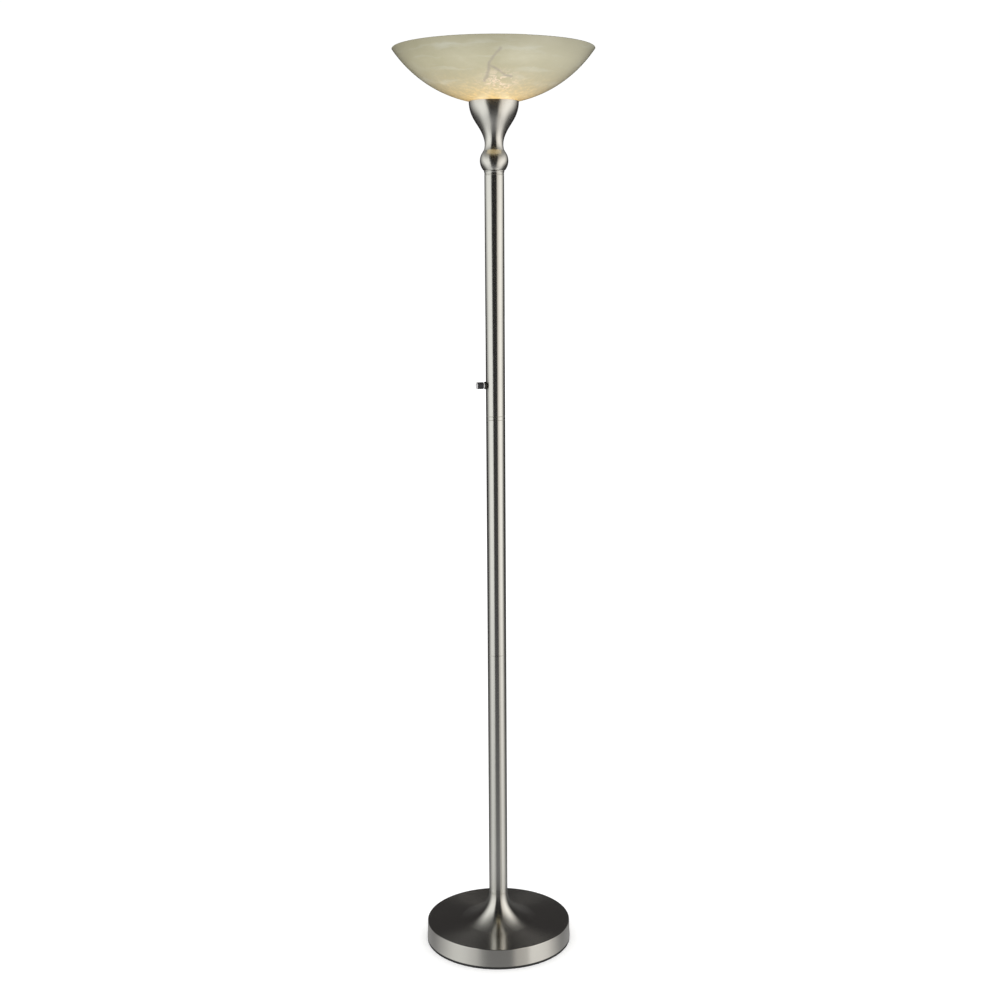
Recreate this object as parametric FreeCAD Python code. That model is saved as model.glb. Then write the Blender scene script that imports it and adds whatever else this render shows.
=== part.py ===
import FreeCAD, Part
import math
import os

# Torchiere floor lamp: a weighted round base, a pole of three screwed sections, a turned neck
# and an open glass bowl that throws the light upwards. Millimetres, +Z up. The origin is the
# centre of the underside, on the floor. The dimmer knob points along -X, the cord leaves at +Y.

V = FreeCAD.Vector

# ---- driving sizes -------------------------------------------------------------------------
bowl_radius = 194.9            # outside of the glass at its rim
bowl_sphere_radius = 236.4     # the bowl is a cap of a sphere
glass_wall = 4.0
glass_lip_crown = 1.4          # height of the rounding of the rim
fitter_hole_radius = 21.0      # hole in the bottom of the bowl
fitter_flat_radius = 28.0      # ground flat round that hole

pole_radius = 19.05            # 1 1/2 in tube
pole_wall = 1.2
lower_section = 505.3
middle_section = 479.7
upper_section = 467.3
seam_chamfer = 0.6

base_top_radius = 147.9
base_bottom_radius = 149.4
base_rim_z = 41.2              # height of the disc at its edge
base_foot_z = 43.6             # height of the disc where the trumpet runs out
base_sheet = 1.2
base_rim_fillet = 1.2
trumpet_top_z = 100.7
trumpet_foot_radius = 76.0
trumpet_straight = 12.0        # how far the pole's line pulls the trumpet's curve down
trumpet_flare_radius = 28.0    # where the disc's line pulls the curve out to
trumpet_flare_rise = 10.0      # height of that pull above the trumpet's foot
pad_thickness = 5.0
pad_radius = 149.1
pad_hole_radius = 18.0

weight_radius = 125.0
weight_plate = 15.0
weight_rib_width = 8.0
weight_boss_radius = 30.0
weight_boss_gap = 5.8          # between the boss and the cover over it
weight_rib_gap = 0.2           # between the rib and the cover it carries
weight_recess_radius = 20.0
weight_recess_z = 24.0
channel_width = 27.0
channel_depth = 11.5

foot_ring_height = 6.6
joint_ring_height = 7.0
neck_ring_height = 3.0
neck_collar_height = 6.0
neck_collar_swell = 0.85       # how far the collar stands out from the pole
neck_collar_straight = 2.4     # its lower part, in line with the pole
spigot_length = 18.0
insert_length = 16.0
joint_nipple_length = 28.0

ball_radius = 27.5
ball_height = 38.0
ball_centre_height = 17.8      # widest point above the ball's cut bottom
ball_shoulder_height = 14.2    # above the widest point, where the round runs out to a cone
ball_top_radius = 19.9
ball_sheet = 1.2

cup_sheet = 1.0
cup_neck_radius = 18.0
cup_foot_radius = 19.6
cup_rim_radius = 48.1
cup_height = 91.24
cup_foot_height = 11.0          # the flared foot that stands on the ball
cup_swell_share = (0.433, 0.495)   # where the cup's curve turns: share of its width and height
cup_shoulder_share = 0.757
cup_waist_share = 0.255

nipple_radius = 5.0            # M10 hollow all-thread
nipple_bore_radius = 3.5
nipple_showing = 1.2           # thread left below the nut in the weight
stem_below_neck = 15.0         # how far the stem nipple reaches into the pole
stem_below_socket = 2.0        # from the stem nipple's end to the holder's body
nut_flats = 14.0
nut_thickness = 5.0
washer_radius = 9.5
washer_thickness = 1.4

socket_radius = 19.6
socket_wall = 5.5
socket_above_flange = 22.5
socket_well = 14.3             # from the flange's top down to the floor of the bulb's well
socket_floor = 6.0
socket_below_flange = 36.3
socket_cavity_radius = 16.6
socket_base_height = 8.0
socket_hub_radius = 9.0
socket_hub_height = 5.0
screw_inset = 4.0              # from the holder's outside to a screw's axis
screw_radius = 1.5
screw_head_radius = 2.8
screw_head_height = 2.2
screw_depth = 5.0              # how far a screw goes into its post
post_radius = 3.0
shell_sheet = 0.5
shell_height = 34.0
shell_hole_radius = 7.5        # round the centre contact
flange_radius = 27.0
flange_thickness = 3.0
terminal_offset = 10.0
terminal_width = 5.0
terminal_depth = 6.0
terminal_height = 3.0
gasket_thickness = 1.0
soft_ring_size = 3.0
ring_radius = 28.0
ring_height = 8.0
ring_notches = 8
notch_radius = 3.0
notch_reach = 1.4              # the notch's centre lies this far outside the ring

bulb_cap_radius = 13.05        # E26 screw cap
bulb_length = 108.0
bulb_radius = 30.0
bulb_glass = 0.9
bulb_cap_height = 20.0
bulb_tip_gap = 0.3
bulb_tip_height = 5.5          # above the floor of the well

knob_above_joint = 61.2        # from the top of the joint ring to the knob's axis
knob_radius = 6.75
knob_grip_length = 12.4
knob_band_length = 2.0
knob_band_radius = 6.1
knob_cap_thickness = 1.0
knob_cap_radius = 6.2
dimmer_radius = 11.0
dimmer_length = 15.8
dimmer_bushing_radius = 4.75
dimmer_shaft_radius = 3.0
dimmer_nut_flats = 12.7
dimmer_nut_thickness = 2.9
dimmer_washer_radius = 7.2
dimmer_washer_thickness = 1.0

inlet_z = 13.7
inlet_bore_radius = 3.4
inlet_body_radius = 6.2
inlet_flange_radius = 8.0
inlet_flange_thickness = 2.0
inlet_length = 12.0
inlet_lip_height = 0.7         # the lip that snaps behind the skirt
inlet_lip_width = 1.4
inlet_groove = 2.0             # between the flange and the lip

lead_radius = 1.1
lead_offset = 1.45             # each lead's distance from the pole's axis
lead_bend = 12.0
connector_radius = 5.0
connector_length = 21.0
connector_skirt = 4.0          # length of a connector's straight skirt
connector_spacing = 13.0
connector_y = 62.0

# ---- clearances ----------------------------------------------------------------------------
thread_gap = 0.1               # between a nipple and the thread it runs in
press_gap = 0.05               # between a pressed or snapped piece and its seat
seat_gap = 0.3                 # between the glass and the metal beside it
gasket_gap = 0.15              # between the soft ring and the cup round it
running_gap = 0.06             # between the shaft and its bushing
knob_gap = 0.6                 # between the knob and the nut behind it

# ---- places worked out from the sizes ------------------------------------------------------
pole_bore = pole_radius - pole_wall
thread_bore = nipple_radius + thread_gap
insert_radius = pole_bore - press_gap
foot_ring_top_z = trumpet_top_z + foot_ring_height
lower_joint_z = foot_ring_top_z + lower_section
joint_ring_z = lower_joint_z + middle_section
joint_ring_top_z = joint_ring_z + joint_ring_height
neck_ring_z = joint_ring_top_z + upper_section
collar_z = neck_ring_z + neck_ring_height
ball_bottom_z = collar_z + neck_collar_height
ball_top_z = ball_bottom_z + ball_height
ball_centre_z = ball_bottom_z + ball_centre_height
cup_rim_z = ball_top_z + cup_height
cup_seat_radius = cup_rim_radius - cup_sheet / 2
sphere_centre_z = cup_rim_z + seat_gap + math.sqrt(bowl_sphere_radius ** 2 - cup_seat_radius ** 2)
total_height = sphere_centre_z - math.sqrt(bowl_sphere_radius ** 2 - bowl_radius ** 2)
glass_inner_radius = bowl_sphere_radius - glass_wall
knob_z = joint_ring_top_z + knob_above_joint


def bowl_outer_z(radius):
    return sphere_centre_z - math.sqrt(bowl_sphere_radius ** 2 - radius ** 2)


def bowl_inner_z(radius):
    return sphere_centre_z - math.sqrt(glass_inner_radius ** 2 - radius ** 2)


glass_flat_z = bowl_outer_z(fitter_flat_radius)
glass_floor_z = glass_flat_z + glass_wall
flange_top_z = glass_flat_z - gasket_thickness
ring_z = glass_floor_z + gasket_thickness
socket_floor_z = flange_top_z - socket_well
socket_top_z = flange_top_z + socket_above_flange
socket_bottom_z = flange_top_z - socket_below_flange
terminal_z = socket_floor_z - socket_floor - terminal_height
bulb_tip_z = socket_floor_z + bulb_tip_height
bulb_top_z = bulb_tip_z + bulb_length
stem_bottom_z = neck_ring_z - stem_below_neck
stem_top_z = socket_bottom_z - stem_below_socket
base_nipple_z = weight_recess_z - washer_thickness - nut_thickness - nipple_showing
lead_z = pad_thickness + connector_radius + press_gap


# ---- shaping helpers -----------------------------------------------------------------------
def at(radius, z):
    return V(radius, 0, z)


def edges_through(points):
    """Straight edges that join the (radius, height) points in order."""
    return [
        Part.LineSegment(at(*start), at(*end)).toShape()
        for start, end in zip(points[:-1], points[1:])
    ]


def spun(edges):
    """The solid swept by a closed outline turned once about the lamp's axis."""
    face = Part.Face(Part.Wire(Part.__sortEdges__(edges)))
    return face.revolve(V(0, 0, 0), V(0, 0, 1), 360)


def turned(points):
    """A lathe-turned piece from its closed (radius, height) outline."""
    return spun(edges_through(points + points[:1]))


def ring(inner, outer, low, high):
    return turned([(inner, low), (outer, low), (outer, high), (inner, high)])


def bevelled_ring(inner, outer, low, high, bevel=seam_chamfer):
    """A ring whose two outer corners are broken, as a turned or cut end is."""
    outline = [
        (inner, low),
        (outer - bevel, low),
        (outer, low + bevel),
        (outer, high - bevel),
        (outer - bevel, high),
        (inner, high),
    ]
    return turned(outline)


def bezier(poles):
    curve = Part.BezierCurve()
    curve.setPoles([at(*pole) for pole in poles])
    return curve.toShape()


def hexagon(flats, low, thickness):
    """A six-sided prism standing on the lamp's axis."""
    corner = flats / math.sqrt(3)
    points = []
    for side in range(7):
        turn = math.radians(60 * side)
        points.append(V(corner * math.cos(turn), corner * math.sin(turn), low))
    return Part.Face(Part.makePolygon(points)).extrude(V(0, 0, thickness))


def laid_along(shape, direction, place):
    """Turns a piece made about +Z to point along a direction and puts its origin at a place."""
    laid = shape.copy()
    turn = FreeCAD.Rotation(V(0, 0, 1), direction)
    laid.Placement = FreeCAD.Placement(place, turn)
    return laid


def to_knob(shape):
    """Puts a piece made about +Z on the knob's axis: its z = 0 lies on the pole's outside."""
    return laid_along(shape, V(-1, 0, 0), V(-pole_radius, 0, knob_z))


def wire_along(points, radius, largest_bend):
    """A round lead: straight runs joined by tangent arcs as large as the runs allow."""
    edges = []
    start = points[0]
    for before, corner, after in zip(points[:-2], points[1:-1], points[2:]):
        run_in = corner - before
        run_out = after - corner
        half_turn = run_in.getAngle(run_out) / 2
        bend = 0.45 * min(run_in.Length, run_out.Length) / math.tan(half_turn)
        bend = min(bend, largest_bend)
        setback = bend * math.tan(half_turn)
        way_in = V(run_in).normalize()
        way_out = V(run_out).normalize()
        arc_start = corner - way_in * setback
        arc_end = corner + way_out * setback
        inward = (way_out - way_in).normalize()
        centre = corner + inward * (bend / math.cos(half_turn))
        arc_middle = centre - inward * bend
        edges.append(Part.LineSegment(start, arc_start).toShape())
        edges.append(Part.Arc(arc_start, arc_middle, arc_end).toShape())
        start = arc_end
        print("lead bend radius %.1f mm" % bend)
    edges.append(Part.LineSegment(start, points[-1]).toShape())
    path = Part.Wire(edges)
    first_run = (points[1] - points[0]).normalize()
    section = Part.Wire(Part.makeCircle(radius, points[0], first_run))
    return path.makePipeShell([section], True, False)


def save(name, shape):
    shape.exportStep("parts/" + name + ".step")


# ---- base ----------------------------------------------------------------------------------
def skirt_radius(z):
    """Outside of the base cover's skirt, which widens towards the floor."""
    share = (base_rim_z - z) / (base_rim_z - pad_thickness)
    return base_top_radius + (base_bottom_radius - base_top_radius) * share


def disc_z(radius):
    """Top of the base cover's disc, which falls gently from the trumpet to the rim."""
    share = (radius - trumpet_foot_radius) / (base_top_radius - trumpet_foot_radius)
    return base_foot_z + (base_rim_z - base_foot_z) * share


def base_cover():
    sheet = base_sheet
    trumpet = [
        (pole_radius, trumpet_top_z),
        (pole_radius, trumpet_top_z - trumpet_straight),
        (trumpet_flare_radius, base_foot_z + trumpet_flare_rise),
        (trumpet_foot_radius, base_foot_z),
    ]
    under = [
        (pole_radius - sheet, trumpet_top_z - sheet),
        (pole_radius - sheet, trumpet_top_z - trumpet_straight - sheet / 3),
        (trumpet_flare_radius - sheet * 0.6, base_foot_z + trumpet_flare_rise - sheet * 0.9),
        (trumpet_foot_radius, base_foot_z - sheet),
    ]
    fillet = base_rim_fillet
    rim_start = base_top_radius - fillet
    rim_start_z = disc_z(rim_start)
    rim_end_z = base_rim_z - fillet
    rim_end = skirt_radius(rim_end_z)
    corner = fillet * (1 - math.sqrt(0.5))
    rim_middle = at(rim_end - corner, rim_start_z - corner)
    lip = [
        (trumpet[0][0], trumpet_top_z),
        (thread_bore, trumpet_top_z),
        (thread_bore, trumpet_top_z - sheet),
        under[0],
    ]
    inside = [
        under[3],
        (rim_start - sheet / 2, rim_start_z - sheet),
        (rim_end - sheet, rim_end_z),
        (skirt_radius(pad_thickness) - sheet, pad_thickness),
        (skirt_radius(pad_thickness), pad_thickness),
        (rim_end, rim_end_z),
    ]
    edges = [bezier(trumpet), bezier(under)]
    edges += edges_through(lip)
    edges += edges_through(inside)
    edges += edges_through([trumpet[3], (rim_start, rim_start_z)])
    edges.append(Part.Arc(at(rim_start, rim_start_z), rim_middle, at(rim_end, rim_end_z)).toShape())
    cover = spun(edges)
    hole_start = V(0, weight_radius, inlet_z)
    hole_reach = base_bottom_radius - weight_radius + 1
    hole = Part.makeCylinder(inlet_body_radius + press_gap, hole_reach, hole_start, V(0, 1, 0))
    return cover.cut(hole)


def base_weight():
    floor = pad_thickness
    plate_top = floor + weight_plate
    rib_inner = weight_radius - weight_rib_width
    rib_top = disc_z(weight_radius) - base_sheet - weight_rib_gap
    boss_top = base_foot_z - base_sheet - weight_boss_gap
    outline = [
        (thread_bore, weight_recess_z),
        (weight_recess_radius, weight_recess_z),
        (weight_recess_radius, floor),
        (weight_radius, floor),
        (weight_radius, rib_top),
        (rib_inner, rib_top),
        (rib_inner, plate_top),
        (weight_boss_radius, plate_top),
        (weight_boss_radius, boss_top),
        (thread_bore, boss_top),
    ]
    weight = turned(outline)
    channel = Part.makeBox(
        channel_width, weight_radius + 5, channel_depth, V(-channel_width / 2, 0, floor)
    )
    return weight.cut(channel)


def base_pad():
    return ring(pad_hole_radius, pad_radius, 0, pad_thickness)


def hollow_nipple(low, high):
    return ring(nipple_bore_radius, nipple_radius, low, high)


def lock_nut(low):
    return hexagon(nut_flats, low, nut_thickness).cut(
        Part.makeCylinder(thread_bore, nut_thickness + 2, V(0, 0, low - 1))
    )


def flat_washer(low):
    return ring(thread_bore, washer_radius, low, low + washer_thickness)


def cord_bushing():
    bore = inlet_bore_radius
    body = inlet_body_radius
    lip = body + inlet_lip_height
    lip_near = -base_sheet - inlet_groove
    flange = inlet_flange_radius
    bevel = inlet_flange_thickness * 0.4
    inner_end = inlet_flange_thickness - inlet_length
    outline = [
        (bore, inner_end),
        (body - bevel, inner_end),
        (lip, lip_near - inlet_lip_width),
        (lip, lip_near),
        (body, lip_near + bevel / 2),
        (body, 0.0),
        (flange, 0.0),
        (flange, inlet_flange_thickness - bevel),
        (flange - bevel, inlet_flange_thickness),
        (bore, inlet_flange_thickness),
    ]
    seat = V(0, skirt_radius(inlet_z - inlet_flange_radius) + press_gap, inlet_z)
    return laid_along(turned(outline), V(0, 1, 0), seat)


def wire_connectors():
    """Two twist-on caps that join the lamp's leads to the cord, lying on the pad."""
    mouth = connector_radius
    crown = connector_radius * 0.72
    outline = [
        (0, 0),
        (mouth, 0),
        (mouth, connector_skirt),
        (mouth - 0.6, connector_skirt + 0.6),
        (crown, connector_length - 1.0),
        (crown - 1.0, connector_length),
        (0, connector_length),
    ]
    cap = turned(outline)
    pair = []
    for side in (-1, 1):
        place = V(side * connector_spacing / 2, connector_y, lead_z)
        pair.append(laid_along(cap, V(0, 1, 0), place))
    return Part.makeCompound(pair)


# ---- pole ----------------------------------------------------------------------------------
def pole_tube(low, high):
    return bevelled_ring(pole_bore, pole_radius, low, high)


def upper_tube():
    tube = pole_tube(joint_ring_top_z, neck_ring_z)
    hole_radius = dimmer_bushing_radius + thread_gap
    hole = Part.makeCylinder(hole_radius, pole_radius + 1, V(0, 0, knob_z), V(-1, 0, 0))
    return tube.cut(hole)


def shouldered_coupling(low, height, spigot_up):
    """A turned plug pressed into a tube, whose shoulder shows as a ring flush with the tube."""
    high = low + height
    shoulder = bevelled_ring(thread_bore, pole_radius, low, high)
    if spigot_up:
        spigot = ring(thread_bore, insert_radius, high, high + spigot_length)
    else:
        spigot = ring(thread_bore, insert_radius, low - spigot_length, low)
    return shoulder.fuse(spigot).removeSplitter()


def tube_inserts():
    """Threaded plugs pressed flush into the plain tube ends."""
    ends = [
        (lower_joint_z - insert_length, lower_joint_z),
        (lower_joint_z, lower_joint_z + insert_length),
        (joint_ring_z - insert_length, joint_ring_z),
    ]
    return Part.makeCompound([ring(thread_bore, insert_radius, low, high) for low, high in ends])


def joint_nipples():
    half = joint_nipple_length / 2
    middles = (lower_joint_z, joint_ring_z + joint_ring_height / 2)
    return Part.makeCompound([hollow_nipple(z - half, z + half) for z in middles])


# ---- neck and cup --------------------------------------------------------------------------
def neck_collar():
    swollen = pole_radius + neck_collar_swell
    outline = [
        (thread_bore, collar_z),
        (pole_radius - seam_chamfer, collar_z),
        (pole_radius, collar_z + seam_chamfer),
        (pole_radius + 0.15, collar_z + neck_collar_straight),
        (swollen, ball_bottom_z - 4 * seam_chamfer),
        (swollen, ball_bottom_z - 2 * seam_chamfer),
        (swollen - 2 * seam_chamfer, ball_bottom_z),
        (thread_bore, ball_bottom_z),
    ]
    return turned(outline)


def ball_outline_radius(radius, z):
    return math.sqrt(radius ** 2 - (z - ball_centre_z) ** 2)


def neck_ball():
    sheet = ball_sheet
    inner = ball_radius - sheet
    low = ball_bottom_z
    high = ball_top_z
    outer_low = ball_outline_radius(ball_radius, low)
    shoulder_z = ball_centre_z + ball_shoulder_height
    shoulder = ball_outline_radius(ball_radius, shoulder_z)
    slope = ball_shoulder_height / shoulder
    run_out = (shoulder - slope * (high - shoulder_z) / 2, (shoulder_z + high) / 2)
    inner_low = ball_outline_radius(inner, low + sheet)
    inner_high = ball_outline_radius(inner, high - sheet)
    edges = [
        Part.Arc(at(outer_low, low), at(ball_radius, ball_centre_z), at(shoulder, shoulder_z)).toShape(),
        bezier([(shoulder, shoulder_z), run_out, (ball_top_radius, high)]),
        Part.Arc(
            at(inner_low, low + sheet), at(inner, ball_centre_z), at(inner_high, high - sheet)
        ).toShape(),
    ]
    edges += edges_through([(outer_low, low), (thread_bore, low)])
    edges += edges_through([(thread_bore, low), (thread_bore, low + sheet), (inner_low, low + sheet)])
    edges += edges_through([(ball_top_radius, high), (thread_bore, high), (thread_bore, high - sheet)])
    edges += edges_through([(thread_bore, high - sheet), (inner_high, high - sheet)])
    return spun(edges)


def shade_cup():
    sheet = cup_sheet
    neck = cup_neck_radius
    rim = cup_rim_radius
    low = ball_top_z
    top = cup_rim_z
    swell = (neck + (rim - neck) * cup_swell_share[0], low + cup_height * cup_swell_share[1])
    lower = [
        (neck, low + cup_foot_height),
        (neck, low + cup_height * cup_waist_share),
        (swell[0] - 6.1, swell[1] - 9.5),
        swell,
    ]
    upper = [
        swell,
        (swell[0] + 6.9, swell[1] + 10.8),
        (rim, low + cup_height * cup_shoulder_share),
        (rim, top),
    ]
    slip = sheet * 0.8
    lower_in = [
        (neck - sheet, low + cup_foot_height),
        (neck - sheet, lower[1][1] + 0.4),
        (lower[2][0] - slip, lower[2][1] + slip * 0.7),
        (swell[0] - slip, swell[1] + slip * 0.6),
    ]
    upper_in = [
        lower_in[3],
        (upper[1][0] - slip, upper[1][1] + slip * 0.7),
        (rim - sheet, upper[2][1] + 0.3),
        (rim - sheet, top),
    ]
    edges = [bezier(lower), bezier(upper), bezier(lower_in), bezier(upper_in)]
    edges += edges_through([upper_in[3], upper[3]])
    foot = [lower[0], (neck, low + 4.0), (cup_foot_radius - 0.4, low + 2.0), (cup_foot_radius, low)]
    edges.append(bezier(foot))
    edges += edges_through([
        foot[3],
        (thread_bore, low),
        (thread_bore, low + sheet),
        (neck - sheet, low + sheet),
        lower_in[0],
    ])
    return spun(edges)


# ---- lamp holder ---------------------------------------------------------------------------
def socket_base():
    low = socket_bottom_z - socket_base_height
    outline = [
        (thread_bore, low - socket_hub_height),
        (socket_hub_radius, low - socket_hub_height),
        (socket_hub_radius, low),
        (socket_radius, low),
        (socket_radius, socket_bottom_z),
        (thread_bore, socket_bottom_z),
    ]
    base = turned(outline)
    hole_radius = screw_radius + 2 * thread_gap
    for side in (-1, 1):
        place = V(0, side * (socket_radius - screw_inset), low - 1)
        base = base.cut(Part.makeCylinder(hole_radius, socket_base_height + 2, place))
    return base


def socket_screws():
    """Two screws that hold the base to the body, heads below."""
    low = socket_bottom_z - socket_base_height
    pair = []
    for side in (-1, 1):
        head = ring(0, screw_head_radius, low - screw_head_height, low)
        screw = head.fuse(ring(0, screw_radius, low, socket_bottom_z + screw_depth))
        screw.translate(V(0, side * (socket_radius - screw_inset), 0))
        pair.append(screw.removeSplitter())
    return Part.makeCompound(pair)


def socket_body():
    bore = socket_radius - socket_wall
    outline = [
        (socket_cavity_radius, socket_bottom_z),
        (socket_radius, socket_bottom_z),
        (socket_radius, flange_top_z - flange_thickness),
        (flange_radius, flange_top_z - flange_thickness),
        (flange_radius, flange_top_z),
        (socket_radius, flange_top_z),
        (socket_radius, socket_top_z - 1.0),
        (socket_radius - 1.0, socket_top_z),
        (bore, socket_top_z),
        (bore, socket_floor_z),
        (0, socket_floor_z),
        (0, socket_floor_z - socket_floor),
        (socket_cavity_radius, socket_floor_z - socket_floor),
    ]
    body = turned(outline)
    feet = [V(0, side * (socket_radius - screw_inset), socket_bottom_z) for side in (-1, 1)]
    post_height = socket_floor_z - socket_floor / 2 - socket_bottom_z
    for foot in feet:
        body = body.fuse(Part.makeCylinder(post_radius, post_height, foot))
    for foot in feet:
        hole = Part.makeCylinder(screw_radius + thread_gap, screw_depth + 2 * thread_gap, foot)
        body = body.cut(hole)
    return body.removeSplitter()


def socket_shell():
    """The brass screw shell, a cup standing on the holder's floor."""
    inner = bulb_cap_radius + seat_gap
    outer = inner + shell_sheet
    low = socket_floor_z
    outline = [
        (shell_hole_radius, low),
        (outer, low),
        (outer, low + shell_height),
        (inner, low + shell_height),
        (inner, low + shell_sheet),
        (shell_hole_radius, low + shell_sheet),
    ]
    return turned(outline)


def socket_contact():
    """The sprung centre contact under the bulb's tip."""
    low = socket_floor_z
    top = bulb_tip_z - bulb_tip_gap
    outline = [
        (0, low),
        (5.0, low),
        (5.0, low + 1.0),
        (3.4, top - 1.0),
        (2.4, top),
        (0, top),
    ]
    return turned(outline)


def socket_terminals():
    """Two brass blocks under the holder's floor, where the leads are fixed."""
    pair = []
    for side in (-1, 1):
        corner = V(side * terminal_offset - terminal_width / 2, -terminal_depth / 2, terminal_z)
        pair.append(Part.makeBox(terminal_width, terminal_depth, terminal_height, corner))
    return Part.makeCompound(pair)


def shade_gaskets():
    """Fibre washers below and above the glass."""
    inner = socket_radius + seat_gap
    lower = ring(inner, flange_radius, flange_top_z, glass_flat_z)
    upper = ring(inner, ring_radius - 1.0, glass_floor_z, ring_z)
    return Part.makeCompound([lower, upper])


def shade_ring():
    """The threaded ring that clamps the bowl, with finger notches round it."""
    inner = socket_radius + thread_gap
    body = bevelled_ring(inner, ring_radius, ring_z, ring_z + ring_height, 0.8)
    reach = ring_radius + notch_reach
    for notch in range(ring_notches):
        turn = math.radians(360 / ring_notches * notch)
        place = V(reach * math.cos(turn), reach * math.sin(turn), ring_z - 1)
        body = body.cut(Part.makeCylinder(notch_radius, ring_height + 2, place))
    return body


def glass_shade():
    flat = fitter_flat_radius
    hole = fitter_hole_radius
    inner_flat = math.sqrt(glass_inner_radius ** 2 - (sphere_centre_z - glass_floor_z) ** 2)
    lip_z = total_height - glass_lip_crown
    drop = sphere_centre_z - lip_z
    lip_outer = math.sqrt(bowl_sphere_radius ** 2 - drop ** 2)
    lip_inner = math.sqrt(glass_inner_radius ** 2 - drop ** 2)
    lip_top = at((lip_outer + lip_inner) / 2, total_height)
    middle = (flat + bowl_radius) / 2
    edges = [
        Part.Arc(at(flat, glass_flat_z), at(middle, bowl_outer_z(middle)), at(lip_outer, lip_z)).toShape(),
        Part.Arc(at(lip_outer, lip_z), lip_top, at(lip_inner, lip_z)).toShape(),
        Part.Arc(
            at(lip_inner, lip_z), at(middle, bowl_inner_z(middle)), at(inner_flat, glass_floor_z)
        ).toShape(),
    ]
    edges += edges_through([
        (inner_flat, glass_floor_z),
        (hole, glass_floor_z),
        (hole, glass_flat_z),
        (flat, glass_flat_z),
    ])
    return spun(edges)


def cup_gasket():
    """A soft ring inside the cup's mouth that keeps the glass off the metal."""
    outer = cup_rim_radius - cup_sheet - gasket_gap
    inner = outer - soft_ring_size
    low = cup_rim_z - soft_ring_size
    outline = [
        (inner, low),
        (outer, low),
        (outer, bowl_outer_z(outer) - press_gap),
        (inner, bowl_outer_z(inner) - press_gap),
    ]
    return turned(outline)


# ---- bulb ----------------------------------------------------------------------------------
cap_z = bulb_tip_z + 6.0
cap_top_z = cap_z + bulb_cap_height
globe_centre_z = bulb_top_z - bulb_radius
bulb_neck_radius = bulb_cap_radius - 0.9


def globe_edges(radius, neck, low, top):
    """One skin of the globe: a straight neck, a flare and a round crown."""
    centre = top - radius
    side = math.radians(18)
    shoulder = (radius * math.cos(side), centre - radius * math.sin(side))
    lean = (shoulder[0] - 9.0 * math.sin(side), shoulder[1] - 9.0 * math.cos(side))
    edges = edges_through([(neck, low), (neck, cap_top_z)])
    edges.append(bezier([(neck, cap_top_z), (neck + 0.6, cap_top_z + 14.0), lean, shoulder]))
    edges.append(Part.Arc(at(*shoulder), at(radius, centre), at(0, top)).toShape())
    return edges


def bulb_globe():
    low = cap_top_z - 6.0
    inner_neck = bulb_neck_radius - bulb_glass
    inner_top = bulb_top_z - bulb_glass
    edges = globe_edges(bulb_radius, bulb_neck_radius, low, bulb_top_z)
    edges += globe_edges(bulb_radius - bulb_glass, inner_neck, low, inner_top)
    edges += edges_through([(bulb_neck_radius, low), (inner_neck, low)])
    edges += edges_through([(0, bulb_top_z), (0, inner_top)])
    return spun(edges)


def bulb_cap():
    """The metal screw cap, closed below round the insulator."""
    outer = bulb_cap_radius
    inner = outer - 0.4
    outline = [
        (6.0, cap_z),
        (10.5, cap_z),
        (outer, cap_z + 3.0),
        (outer, cap_top_z),
        (inner, cap_top_z),
        (inner, cap_z + 3.2),
        (10.3, cap_z + 0.5),
        (6.0, cap_z + 0.5),
    ]
    return turned(outline)


def bulb_insulator():
    low = bulb_tip_z + 1.4
    outline = [
        (0, low),
        (5.0, low),
        (9.5, cap_z - press_gap),
        (5.9, cap_z - press_gap),
        (5.9, cap_z + 2.0),
        (0, cap_z + 2.0),
    ]
    return turned(outline)


def bulb_tip():
    outline = [(0, bulb_tip_z), (2.2, bulb_tip_z), (4.4, bulb_tip_z + 1.4), (0, bulb_tip_z + 1.4)]
    return turned(outline)


def bulb_stem():
    """The glass mount inside the bulb, flared where it is sealed into the neck."""
    low = cap_top_z - 6.0
    flare = bulb_neck_radius - bulb_glass - press_gap
    outline = [
        (0, low + 3.0),
        (flare - 1.0, low),
        (flare, low),
        (flare, low + 1.0),
        (3.4, low + 14.0),
        (2.6, globe_centre_z - 18.0),
        (0, globe_centre_z - 18.0),
    ]
    return turned(outline)


def bulb_filament():
    """The coiled filament on its two support wires."""
    foot = globe_centre_z - 18.0
    height = globe_centre_z
    spread = 9.0
    wires = []
    for side in (-1, 1):
        lean = V(side * (spread - 1.5), 0, height - foot)
        wires.append(Part.makeCylinder(0.45, lean.Length, V(side * 1.5, 0, foot + 0.25), lean))
    coil = Part.makeCylinder(0.9, 2 * spread, V(-spread, 0, height), V(1, 0, 0))
    return wires[0].fuse(wires[1]).fuse(coil)


# ---- dimmer and knob -----------------------------------------------------------------------
dimmer_front = -(pole_bore - math.sqrt((pole_bore - 0.2) ** 2 - dimmer_radius ** 2) + pole_wall)
nut_low = press_gap + dimmer_washer_thickness
nut_high = nut_low + dimmer_nut_thickness
bushing_end = nut_high + 1.0
band_low = nut_high + knob_gap
grip_low = band_low + knob_band_length
cap_low = grip_low + knob_grip_length
shaft_reach = 2.8              # how far the shaft goes into the dimmer
dimmer_middle_x = -pole_radius - dimmer_front + dimmer_length / 2
dimmer_back_x = dimmer_middle_x + dimmer_length / 2
block = 3.0                    # size of a dimmer terminal


def dimmer_body():
    """The sealed dimmer, sitting inside the pole behind its bushing."""
    front = dimmer_front
    back = front - dimmer_length
    bore = dimmer_shaft_radius + running_gap
    outline = [
        (0, back),
        (dimmer_radius - 1.0, back),
        (dimmer_radius, back + 1.0),
        (dimmer_radius, front),
        (bore, front),
        (bore, front - shaft_reach - 0.2),
        (0, front - shaft_reach - 0.2),
    ]
    return to_knob(turned(outline))


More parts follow.
